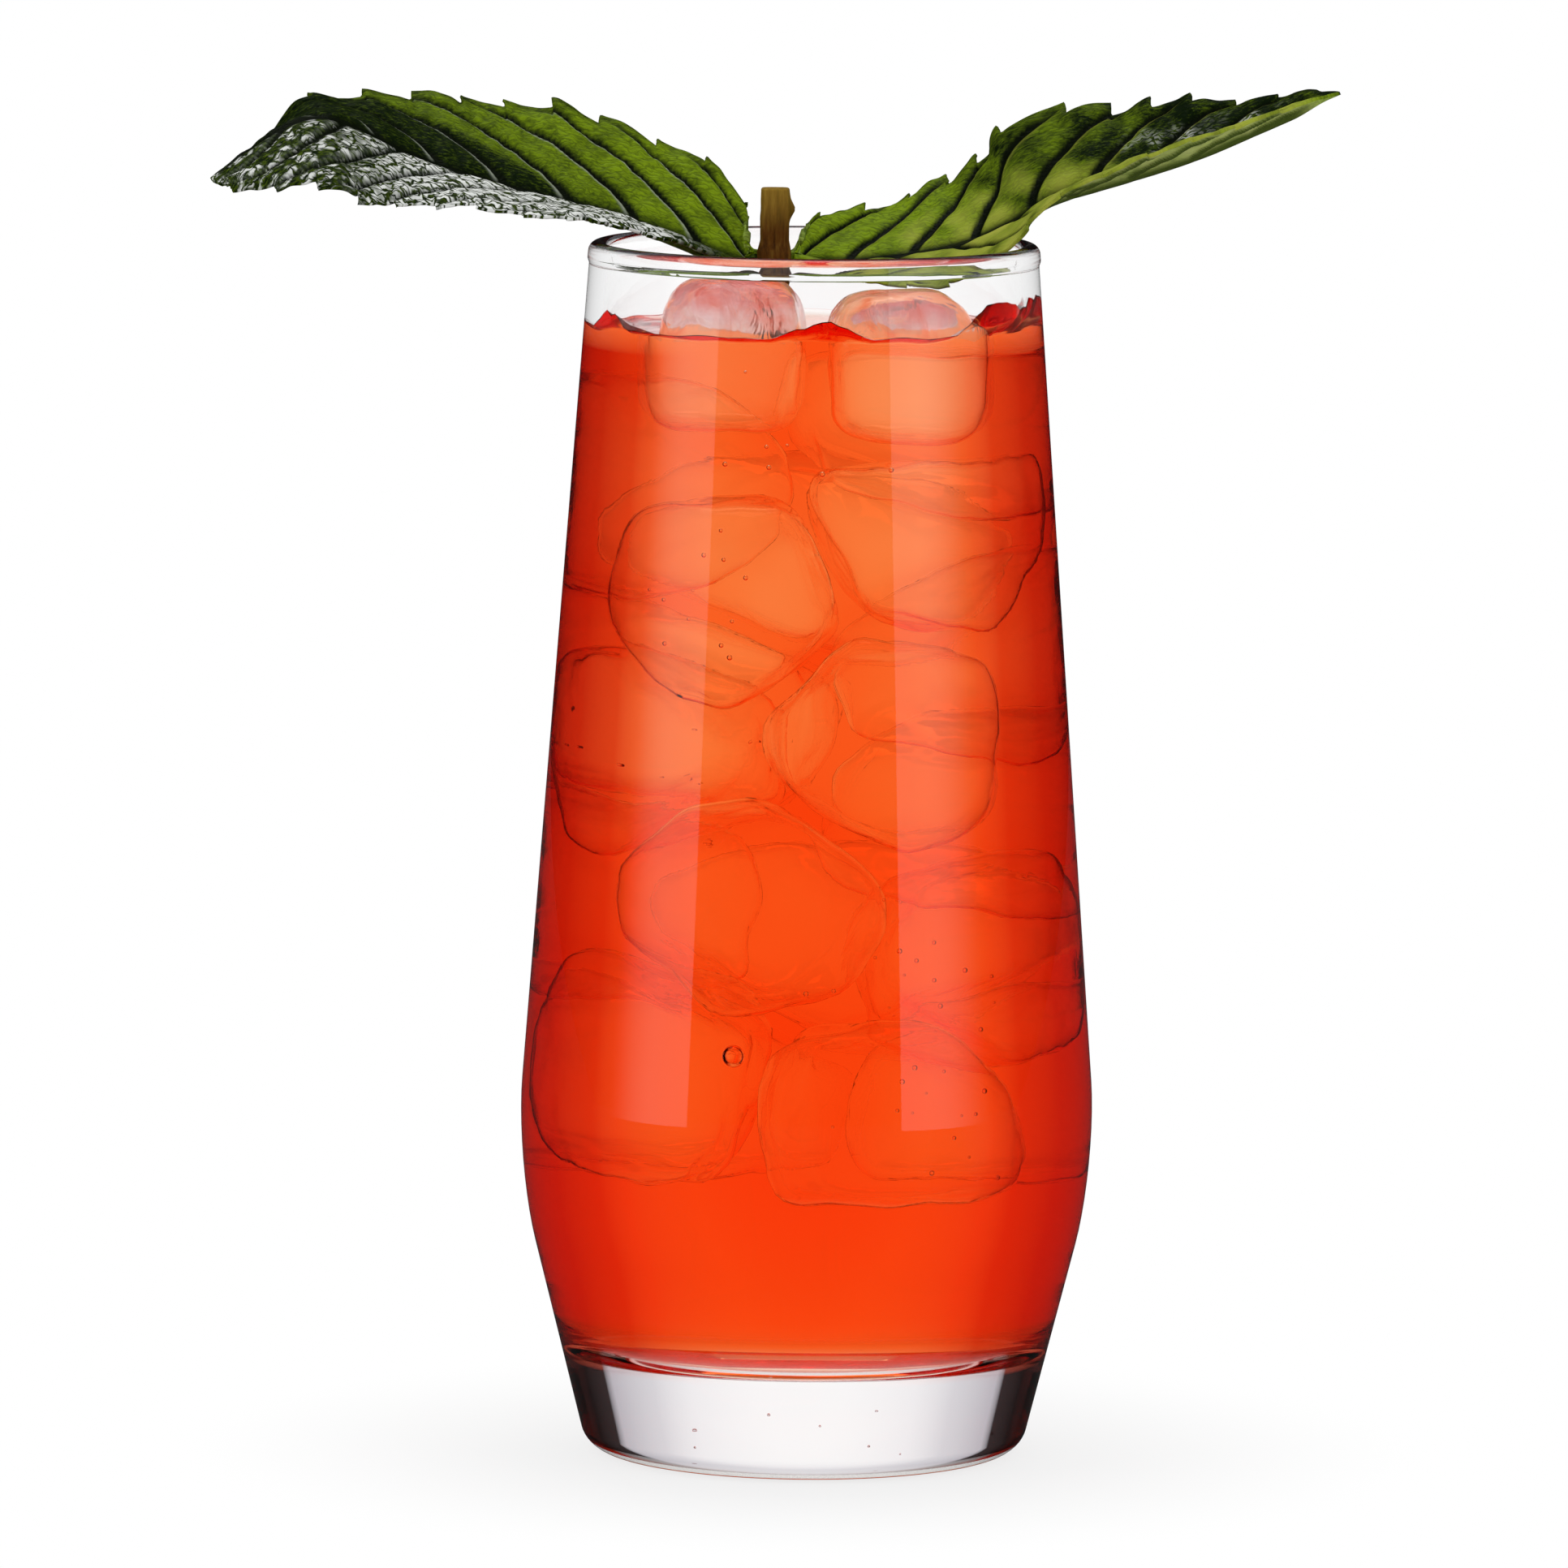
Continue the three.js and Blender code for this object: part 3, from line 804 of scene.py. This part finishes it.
RIGHT_LEAF = {
    "hand": 1,
    "midrib": (
        (-19.6, 10.6, -2.4),
        (-10.6, 10, -0.8),
        (-3.8, 9.3, 2),
        (1.8, 8.5, 5.4),
        (11.7, 6.5, 8.6),
        (19.6, 5, 11.3),
        (27.6, 3.5, 14.8),
        (36.9, 2, 19),
    ),
    "half_width": 16,
    "fullness": 0.6,
    "bluntness": 0.8,
    "far_fold": (45, 26, 28, 42, 44, 42, 38, 32),
    "near_fold": (-10, -24, -30, -12, 4, 14, 18, 20, 20),
    "near_width": (0.25, 0.38, 0.54, 0.7, 0.84, 0.95, 1, 1, 1),
    "tooth_depth": 0.13,
    "vein_sweep": 0.19,
    "vein_gleam": (0, 0.3),
    # how far the pale young skin by the midrib reaches up the far half
    "pale_reach": (0, 0.15, 0.55, 0.52, 0.33, 0.12, 0, 0, 0),
}
PALE_EDGE = 0.06  # half the width over which the pale skin goes over into the green
# Greens, veins and the colour of the painted glare, for each side of a leaf.
UPPER_TINTS = {
    "Dark": (0.004, 0.012, 0.001),
    "Bright": (0.215, 0.33, 0.004),
    "Vein": (0.003, 0.006, 0.001),
    "Painted_Glare": (0.85, 0.87, 0.84),
}
UNDER_TINTS = {
    "Dark": (0.03, 0.06, 0.005),
    "Bright": (0.36, 0.5, 0.07),
    "Vein": (0.06, 0.09, 0.01),
    "Painted_Glare": (0.7, 0.75, 0.6),
}
# Colours of the painted highlights beside the veins, and of the pale skin on the right leaf.
LEFT_GLEAM = (0.4, 0.44, 0.36)
RIGHT_GLEAM_AND_PALE = (0.46, 0.48, 0.07)
UNDER_GLEAM_AND_PALE = (0.5, 0.52, 0.2)


def along_list(values, share):
    """Value at a share of the way along a list of evenly spaced values."""
    place = share * (len(values) - 1)
    start = min(int(place), len(values) - 2)
    return values[start] + (values[start + 1] - values[start]) * (place - start)


def smooth_step(low, high, value):
    """Share from 0 to 1 of the way between two values, eased at both ends."""
    part = min(max((value - low) / (high - low), 0), 1)
    return part * part * (3 - 2 * part)


def midrib_curve(leaf):
    """Points at even distances along a smooth curve through a leaf's midrib points."""
    hand = leaf["hand"]
    starts = (JOINT_RADIUS + LEAF_GAP, JOINT_RADIUS + LEAF_GAP + PETIOLE_LENGTH)
    knots = [Vector((STEM_X + hand * out, STEM_Y, JOINT_HEIGHT)) for out in starts]
    knots += [
        Vector((hand * (RIM_RADIUS + out), depth, HEIGHT + rise))
        for out, depth, rise in leaf["midrib"]
    ]
    ends = [2 * knots[0] - knots[1]] + knots + [2 * knots[-1] - knots[-2]]
    dense = [knots[0]]
    for before, start, end, after in zip(ends, ends[1:], ends[2:], ends[3:]):
        leaving = start + (end - before) / 6
        coming = end - (after - start) / 6
        dense += interpolate_bezier(start, leaving, coming, end, MIDRIB_STEPS)[1:]
    reached = [0]
    for start, end in zip(dense, dense[1:]):
        reached.append(reached[-1] + (end - start).length)
    even = []
    place = 0
    for step in range(LEAF_ALONG + 1):
        wanted = reached[-1] * step / LEAF_ALONG
        while place < len(dense) - 2 and reached[place + 1] < wanted:
            place += 1
        part = (wanted - reached[place]) / (reached[place + 1] - reached[place])
        even.append(dense[place].lerp(dense[place + 1], part))
    return even, reached[-1]


def half_light_and_tones(leaf, is_far, share, out, quilt, patches, dashes):
    """Brightness with painted light and shade, paleness and painted glare at a place on one half of a
    blade.
    """
    if leaf["hand"] < 0 and is_far:
        # painted light and shade: bright green near the root as if lit through from behind, dark from the
        # midrib outwards on the way to the tip as if in shade, and darker in the creases by the veins
        lit = smooth_step(-0.06, 0.1, out - (share - 0.3) / 0.48)
        return lit * (0.42 + 0.32 * quilt + 0.35 * patches) * (1.3 - share), 0, 0
    if leaf["hand"] < 0:
        # painted glare over a dark green, broken into dashes at the tip
        to_tip = smooth_step(0.55, 0.8, share)
        return 0.1, 0, smooth_step(0.05, 0.2, share) * (1 - to_tip + 0.9 * to_tip * dashes)
    if is_far:
        # painted light near the root with painted shade in the creases by the veins, pale by the midrib,
        # and a patch of painted glare towards the tip
        lit = smooth_step(0.45, 0.15, share) * (0.1 + 0.6 * quilt)
        reach = along_list(leaf["pale_reach"], share)
        pale = smooth_step(reach + PALE_EDGE, reach - PALE_EDGE, out) * min(4 * reach, 1)
        bright = lit + 0.3 * smooth_step(0.75, 0.5, share) + 0.5 * patches + 0.25 * pale
        glare = smooth_step(0.55, 0.7, share) * smooth_step(0.95, 0.8, share)
        glare *= smooth_step(0.65, 0.25, out) * smooth_step(-0.1, 0.3, patches)
        return bright, pale * max(0.2 + 0.6 * patches, 0), 0.6 * glare
    # bright and pale all over
    return 0.9 + 0.7 * patches, max(0.5 + 0.6 * patches, 0), 0


def leaf_shape(leaf):
    """Upper skin of a blade, with its place, veins, tones, painted light and shade, painted glare and
    painted vein highlights kept as attributes.
    """
    hand = leaf["hand"]
    midrib, length = midrib_curve(leaf)
    blade = bmesh.new()
    bmesh.ops.create_grid(blade, x_segments=LEAF_ACROSS, y_segments=LEAF_ALONG, size=1)
    spot = blade.verts.layers.float_vector.new("blade_place")
    vein = blade.verts.layers.float.new("vein")
    tone_and_painted_light = blade.verts.layers.float.new("tone_and_painted_light")
    painted_glare = blade.verts.layers.float.new("painted_glare")
    gleam_and_pale = blade.verts.layers.float.new("gleam_and_pale")
    body = blade.verts.layers.deform.verify()
    for vert in blade.verts:
        across = vert.co.x
        share = (vert.co.y + 1) / 2
        step = round(share * LEAF_ALONG)
        out = abs(across)
        is_far = across > 0
        before, after = midrib[max(step - 1, 0)], midrib[min(step + 1, LEAF_ALONG)]
        tangent = (after - before).normalized()
        side = (Vector((0, 1, 0)) - tangent * tangent.y).normalized()
        normal = tangent.cross(side) * hand
        plumb = (Vector((0, 0, 1)) - side * side.z).normalized()
        up = normal if is_far else plumb  # the near half hangs straight down

        petiole = PETIOLE_RADIUS * (1 - share)
        outline = max(math.sin(math.pi * share ** leaf["fullness"]), 0)
        swell = leaf["half_width"] * outline ** leaf["bluntness"]
        if not is_far:
            swell *= along_list(leaf["near_width"], share)
        beat = (share * TEETH + 0.5) % 1
        notch = beat / TOOTH_FRONT if beat < TOOTH_FRONT else (1 - beat) / (1 - TOOTH_FRONT)
        swell *= 1 - leaf["tooth_depth"] * notch * out**4
        width = max(swell, petiole)
        span = out * width
        fold = math.radians(along_list(leaf["far_fold" if is_far else "near_fold"], share))

        blade_part = smooth_step(*BLADE_FROM, width)
        along = share * length
        run = (share - leaf["vein_sweep"] * out**VEIN_BEND + VEIN_BACK[is_far]) * VEINS
        from_vein = (run - round(run)) / VEINS * length
        line = math.exp(-((from_vein / VEIN_WIDTH) ** 4)) * smooth_step(1, 0.8, out)
        rib = math.exp(-((span / MIDRIB_WIDTH) ** 2))
        # Painted highlight: a light line beside each vein, as if the side of its groove caught the light.
        from_gleam = (from_vein - GLEAM_FROM_VEIN) / GLEAM_WIDTH
        edge = math.exp(-(from_gleam**2)) * smooth_step(0.95, 0.7, out)
        quilt = min(abs(from_vein) / QUILT_WIDTH, 1) ** QUILT_POWER
        quilt *= smooth_step(0, 0.15, out) * smooth_step(1, 0.85, out)
        pucker = noise.noise(Vector((span * PUCKER_FINENESS, along * PUCKER_FINENESS, hand * 7)))
        turns = math.tau * share
        ruffle = math.sin(turns * RUFFLES + hand) + FINE_RUFFLE_HEIGHT * math.sin(turns * FINE_RUFFLES)
        ruffle *= out**2 * (1 if is_far else NEAR_RUFFLE_HEIGHT)
        lift = blade_part * (
            QUILT_HEIGHT * (quilt - 0.5)
            - VEIN_DEPTH * max(line, rib)
            + PUCKER_HEIGHT * pucker * smooth_step(0.05, 0.2, out)
            + RUFFLE_HEIGHT * ruffle
        )
        stalk_rise = math.sqrt(max(petiole**2 - span**2, 0))
        lift += stalk_rise * (1 - blade_part)
        blade_body = LEAF_THICKNESS + stalk_rise * blade_part
        stalk_body = 2 * stalk_rise * (1 - blade_part)
        vert[body][0] = max(blade_body, stalk_body) / LEAF_BODY

        patches = noise.noise(Vector((span * 0.3, along * 0.3, hand * 3)))
        dashes = smooth_step(0, 0.25, noise.noise(Vector((span * 1.4, along * 0.6, 9))))
        bright, pale, glare_share = half_light_and_tones(leaf, is_far, share, out, quilt, patches, dashes)
        vert[spot] = (span if is_far else -span, along, 0)
        vert[vein] = min(VEIN_DARK * max(line, rib), 1) * blade_part
        # brightness with painted light and shade
        vert[tone_and_painted_light] = bright
        vert[gleam_and_pale] = blade_part * max(edge * leaf["vein_gleam"][is_far], pale)
        # share of painted glare
        vert[painted_glare] = glare_share
        vert.co = (
            midrib[step]
            + side * math.copysign(span, across) * math.cos(fold)
            + up * (span * math.sin(fold) + lift)
            + tangent * (TOOTH_LEAN * (1 - notch) * out**5 * blade_part)
        ) * MM
    bmesh.ops.remove_doubles(blade, verts=blade.verts[:], dist=SAME_POINT * MM)
    if hand > 0:
        bmesh.ops.reverse_faces(blade, faces=blade.faces[:])
    return blade


leaf_skin = bpy.data.node_groups.new("leaf_skin", "ShaderNodeTree")
for name in ("Dark", "Bright", "Vein", "Gleam", "Painted_Glare"):
    leaf_skin.interface.new_socket(name=name, in_out="INPUT", socket_type="NodeSocketColor")
leaf_skin.interface.new_socket(name="Colour", in_out="OUTPUT", socket_type="NodeSocketColor")
leaf_skin.interface.new_socket(name="Height", in_out="OUTPUT", socket_type="NodeSocketFloat")
tints = leaf_skin.nodes.new("NodeGroupInput").outputs
finish = leaf_skin.nodes.new("NodeGroupOutput").inputs


def blade_attribute(name, output="Fac"):
    """Value that a blade's points carry."""
    return add_node(leaf_skin, "Attribute", attribute_name=name).outputs[output]


blade_place = blade_attribute("blade_place", "Vector")
sway = add_node(leaf_skin, "TexNoise", Scale=0.7, Detail=2)
swayed = add_node(leaf_skin, "VectorMath", operation="MULTIPLY_ADD")
swayed.inputs[1].default_value = (1.6, 1.6, 0)
leaf_skin.links.new(blade_place, sway.inputs["Vector"])
leaf_skin.links.new(sway.outputs["Color"], swayed.inputs[0])
leaf_skin.links.new(blade_place, swayed.inputs[2])
cell_place = add_node(leaf_skin, "Mapping", Scale=(1.7, 0.42, 1), Rotation=(0, 0, 0.12))
cell_net = add_node(leaf_skin, "TexVoronoi", feature="DISTANCE_TO_EDGE", Scale=1.15)
mottle_place = add_node(leaf_skin, "Mapping", Scale=(2.4, 0.6, 1))
mottling = add_node(leaf_skin, "TexNoise", Scale=1.6, Detail=6, Roughness=0.75)
leaf_skin.links.new(swayed.outputs["Vector"], cell_place.inputs["Vector"])
leaf_skin.links.new(cell_place.outputs["Vector"], cell_net.inputs["Vector"])
leaf_skin.links.new(blade_place, mottle_place.inputs["Vector"])
leaf_skin.links.new(mottle_place.outputs["Vector"], mottling.inputs["Vector"])
cells = cell_net.outputs["Distance"]
mottle = mottling.outputs["Fac"]
mottled = maths(leaf_skin, "MULTIPLY_ADD", mottle, 2.2, -1.1)
# Painted light and shade of the blade, with random mottling.
shade = maths(leaf_skin, "ADD", mottled, blade_attribute("tone_and_painted_light"), clamp=True)
green = mixed(leaf_skin, shade, tints["Dark"], tints["Bright"])
netted = mixed(leaf_skin, ranged(leaf_skin, cells, 0.02, 0.12, 0.4, 0), green, tints["Dark"])
# Painted glare, broken up by the cells.
glare_in_cells = maths(leaf_skin, "MULTIPLY", ranged(leaf_skin, cells, 0.06, 0.15), blade_attribute("painted_glare"))
glared = mixed(leaf_skin, glare_in_cells, netted, tints["Painted_Glare"])
# Painted highlights beside the veins, and the pale skin.
gleamed_and_paled = mixed(leaf_skin, blade_attribute("gleam_and_pale"), glared, tints["Gleam"])
veined = mixed(leaf_skin, blade_attribute("vein"), gleamed_and_paled, tints["Vein"])
relief = maths(leaf_skin, "MULTIPLY_ADD", mottle, 0.3, cells)
leaf_skin.links.new(veined, finish["Colour"])
leaf_skin.links.new(relief, finish["Height"])


def leaf_material(name, **colours):
    """Green skin whose brightness with painted light and shade, veins, painted glare, painted vein
    highlights and paleness follow the blade's own attributes.
    """
    material = bpy.data.materials.new(name)
    material.use_nodes = True
    tree = material.node_tree
    surface = tree.nodes["Principled BSDF"]
    skin = tree.nodes.new("ShaderNodeGroup")
    skin.node_tree = leaf_skin
    for socket, colour in colours.items():
        skin.inputs[socket].default_value = (*colour, 1)
    tree.links.new(skin.outputs["Colour"], surface.inputs["Base Color"])
    surface.inputs["Roughness"].default_value = 0.45
    surface.inputs["Specular IOR Level"].default_value = 0.06
    add_relief(tree, skin.outputs["Height"], 0.5, 0.0003)
    return material


leaf_upper = leaf_material("leaf_upper", Gleam=LEFT_GLEAM, **UPPER_TINTS)
leaf_upper_right = leaf_material("leaf_upper_right", Gleam=RIGHT_GLEAM_AND_PALE, **UPPER_TINTS)
leaf_under = leaf_material("leaf_under", Gleam=UNDER_GLEAM_AND_PALE, **UNDER_TINTS)

for name, body, leaf, upper in (
    ("mint_leaf_left", "left_leaf", LEFT_LEAF, leaf_upper),
    ("mint_leaf_right", "right_leaf", RIGHT_LEAF, leaf_upper_right),
):
    blade = shown_piece(leaf_shape(leaf), name + "_blade", upper, leaf_under)
    blade.vertex_groups.new(name="body")
    thicken = blade.modifiers.new("thickness", "SOLIDIFY")
    thicken.thickness = LEAF_BODY * MM
    thicken.offset = -1
    thicken.vertex_group = "body"
    thicken.material_offset = 1
    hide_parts(name)
    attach(blade, body)

# Floor. A pale sweep of matt paper under the object that runs out into the white backdrop. It
# takes the object's soft shadow close by and is as white as the backdrop further out. Mirror
# reflections see it dimmed.
FLOOR_RADIUS = 0.9
FLOOR_SIDES = 64
FLOOR_DROP = 0.0002  # keeps it clear of the tumbler's foot
SHADOW_NEAR = 0.034
SHADOW_FAR = 0.08
WHITE_IN_SHADOW = 0.8  # share of plain white close to the object
MIRROR_DIM = 0.96

pale_sweep = bpy.data.materials.new("pale_sweep")
pale_sweep.use_nodes = True
sweep = pale_sweep.node_tree
sweep_surface = sweep.nodes["Principled BSDF"]
sweep_surface.inputs["Base Color"].default_value = (0.93, 0.93, 0.93, 1)
sweep_surface.inputs["Roughness"].default_value = 0.9
sweep_surface.inputs["Specular IOR Level"].default_value = 0
floor_place = add_node(sweep, "TexCoord")
away = add_node(sweep, "VectorMath", operation="LENGTH")
sweep.links.new(floor_place.outputs["Object"], away.inputs[0])
fade = ranged(sweep, away.outputs["Value"], SHADOW_NEAR, SHADOW_FAR, WHITE_IN_SHADOW, 1, "SMOOTHSTEP")
floor_ray = add_node(sweep, "LightPath").outputs
seen = maths(sweep, "MAXIMUM", floor_ray["Is Camera Ray"], floor_ray["Is Transmission Ray"])
white_part = maths(sweep, "MULTIPLY", fade, seen)
mirrored = maths(
    sweep, "SUBTRACT", floor_ray["Is Glossy Ray"], floor_ray["Is Transmission Ray"], clamp=True
)
dimmed = maths(sweep, "MULTIPLY", mirrored, MIRROR_DIM)
white = add_node(sweep, "Emission")
dark = add_node(sweep, "Emission", Strength=0)
blend = add_node(sweep, "MixShader")
dim = add_node(sweep, "MixShader")
sweep.links.new(white_part, blend.inputs["Fac"])
sweep.links.new(sweep_surface.outputs["BSDF"], blend.inputs[1])
sweep.links.new(white.outputs["Emission"], blend.inputs[2])
sweep.links.new(dimmed, dim.inputs["Fac"])
sweep.links.new(blend.outputs["Shader"], dim.inputs[1])
sweep.links.new(dark.outputs["Emission"], dim.inputs[2])
sweep.links.new(dim.outputs["Shader"], sweep.nodes["Material Output"].inputs["Surface"])

disc = bmesh.new()
bmesh.ops.create_circle(disc, cap_ends=True, segments=FLOOR_SIDES, radius=FLOOR_RADIUS)
bmesh.ops.translate(disc, verts=disc.verts[:], vec=(0, 0, -FLOOR_DROP))
floor = shown_piece(disc, "floor", pale_sweep)

# Studio light. Two tall softboxes stand to the front left and front right, dimmer towards their
# outer edges, and a third hangs overhead. The world is the white backdrop. Through glass the
# overhead softbox shows, the tall ones don't, and the backdrop is darker overhead, where it ends.
SOFTBOXES = (
    # name, angle from the camera's side, distance, width, bottom, top, radiance
    ("softbox_left", -66, 0.5, 0.34, 0.005, 0.6, 1.15),
    ("softbox_right", 57, 0.5, 0.36, 0.005, 0.6, 1.15),
)
SOFT_EDGE = 0.6  # share of a softbox's width over which its outer edge dims
OVERHEAD_PLACE = (0, 0.35, 1.3)
OVERHEAD_SIDE = 0.8
OVERHEAD_RADIANCE = 2
GAP_FROM = (0.45, 0.6)  # upward part of a direction where the backdrop ends
GAP_DARK = 0.55
ROOM_LIGHT = 0.6  # strength of the backdrop for matt surfaces
ROOM_GLOSS = 0.008  # and for mirror reflections

for name, angle, distance, width, bottom, top, radiance in SOFTBOXES:
    lamp = bpy.data.lights.new(name, "AREA")
    lamp.shape = "RECTANGLE"
    lamp.size = width
    lamp.size_y = top - bottom
    lamp.energy = radiance * math.pi * width * (top - bottom)
    lamp.use_nodes = True
    glow = lamp.node_tree
    across_cloth = axis_part(glow, "NewGeometry", "Parametric", "X")
    outer_edge = 0 if angle < 0 else 1
    falloff = ranged(glow, across_cloth, outer_edge, abs(outer_edge - SOFT_EDGE), curve="SMOOTHSTEP")
    glow.links.new(falloff, glow.nodes["Emission"].inputs["Strength"])
    softbox = bpy.data.objects.new(name, lamp)
    away_angle = math.radians(angle)
    softbox.location = (
        distance * math.sin(away_angle),
        -distance * math.cos(away_angle),
        (top + bottom) / 2,
    )
    softbox.rotation_euler = (math.pi / 2, 0, away_angle)
    softbox.visible_camera = False
    softbox.visible_transmission = False
    scene.collection.objects.link(softbox)

overhead_lamp = bpy.data.lights.new("softbox_overhead", "AREA")
overhead_lamp.size = OVERHEAD_SIDE
overhead_lamp.energy = OVERHEAD_RADIANCE * math.pi * OVERHEAD_SIDE**2
overhead = bpy.data.objects.new("softbox_overhead", overhead_lamp)
overhead.location = OVERHEAD_PLACE
overhead.visible_camera = False
scene.collection.objects.link(overhead)

world = bpy.data.worlds.new("studio")
scene.world = world
world.use_nodes = True
air = world.node_tree
backdrop = air.nodes["Background"]
ray = add_node(air, "LightPath").outputs


def pick(is_kind, value, other):
    """One strength for a kind of ray, and another for the rest."""
    mix = add_node(air, "Mix")
    air.links.new(is_kind, mix.inputs["Factor"])
    air.links.new(other, mix.inputs["A"])
    if isinstance(value, (int, float)):
        mix.inputs["B"].default_value = value
    else:
        air.links.new(value, mix.inputs["B"])
    return mix.outputs["Result"]


upward = axis_part(air, "TexCoord", "Generated", "Z")
seen_through = ranged(air, upward, *GAP_FROM, 1, GAP_DARK, "SMOOTHSTEP")
gloss_change = maths(air, "MULTIPLY", ray["Is Glossy Ray"], ROOM_GLOSS - ROOM_LIGHT)
glossy = maths(air, "ADD", ROOM_LIGHT, gloss_change)
through = pick(ray["Is Transmission Ray"], seen_through, glossy)
strength = pick(ray["Is Camera Ray"], 1.0, through)
air.links.new(strength, backdrop.inputs["Strength"])
backdrop.inputs["Color"].default_value = (1, 1, 1, 1)

scene.cycles.max_bounces = 48
scene.cycles.transmission_bounces = 48
scene.cycles.glossy_bounces = 24
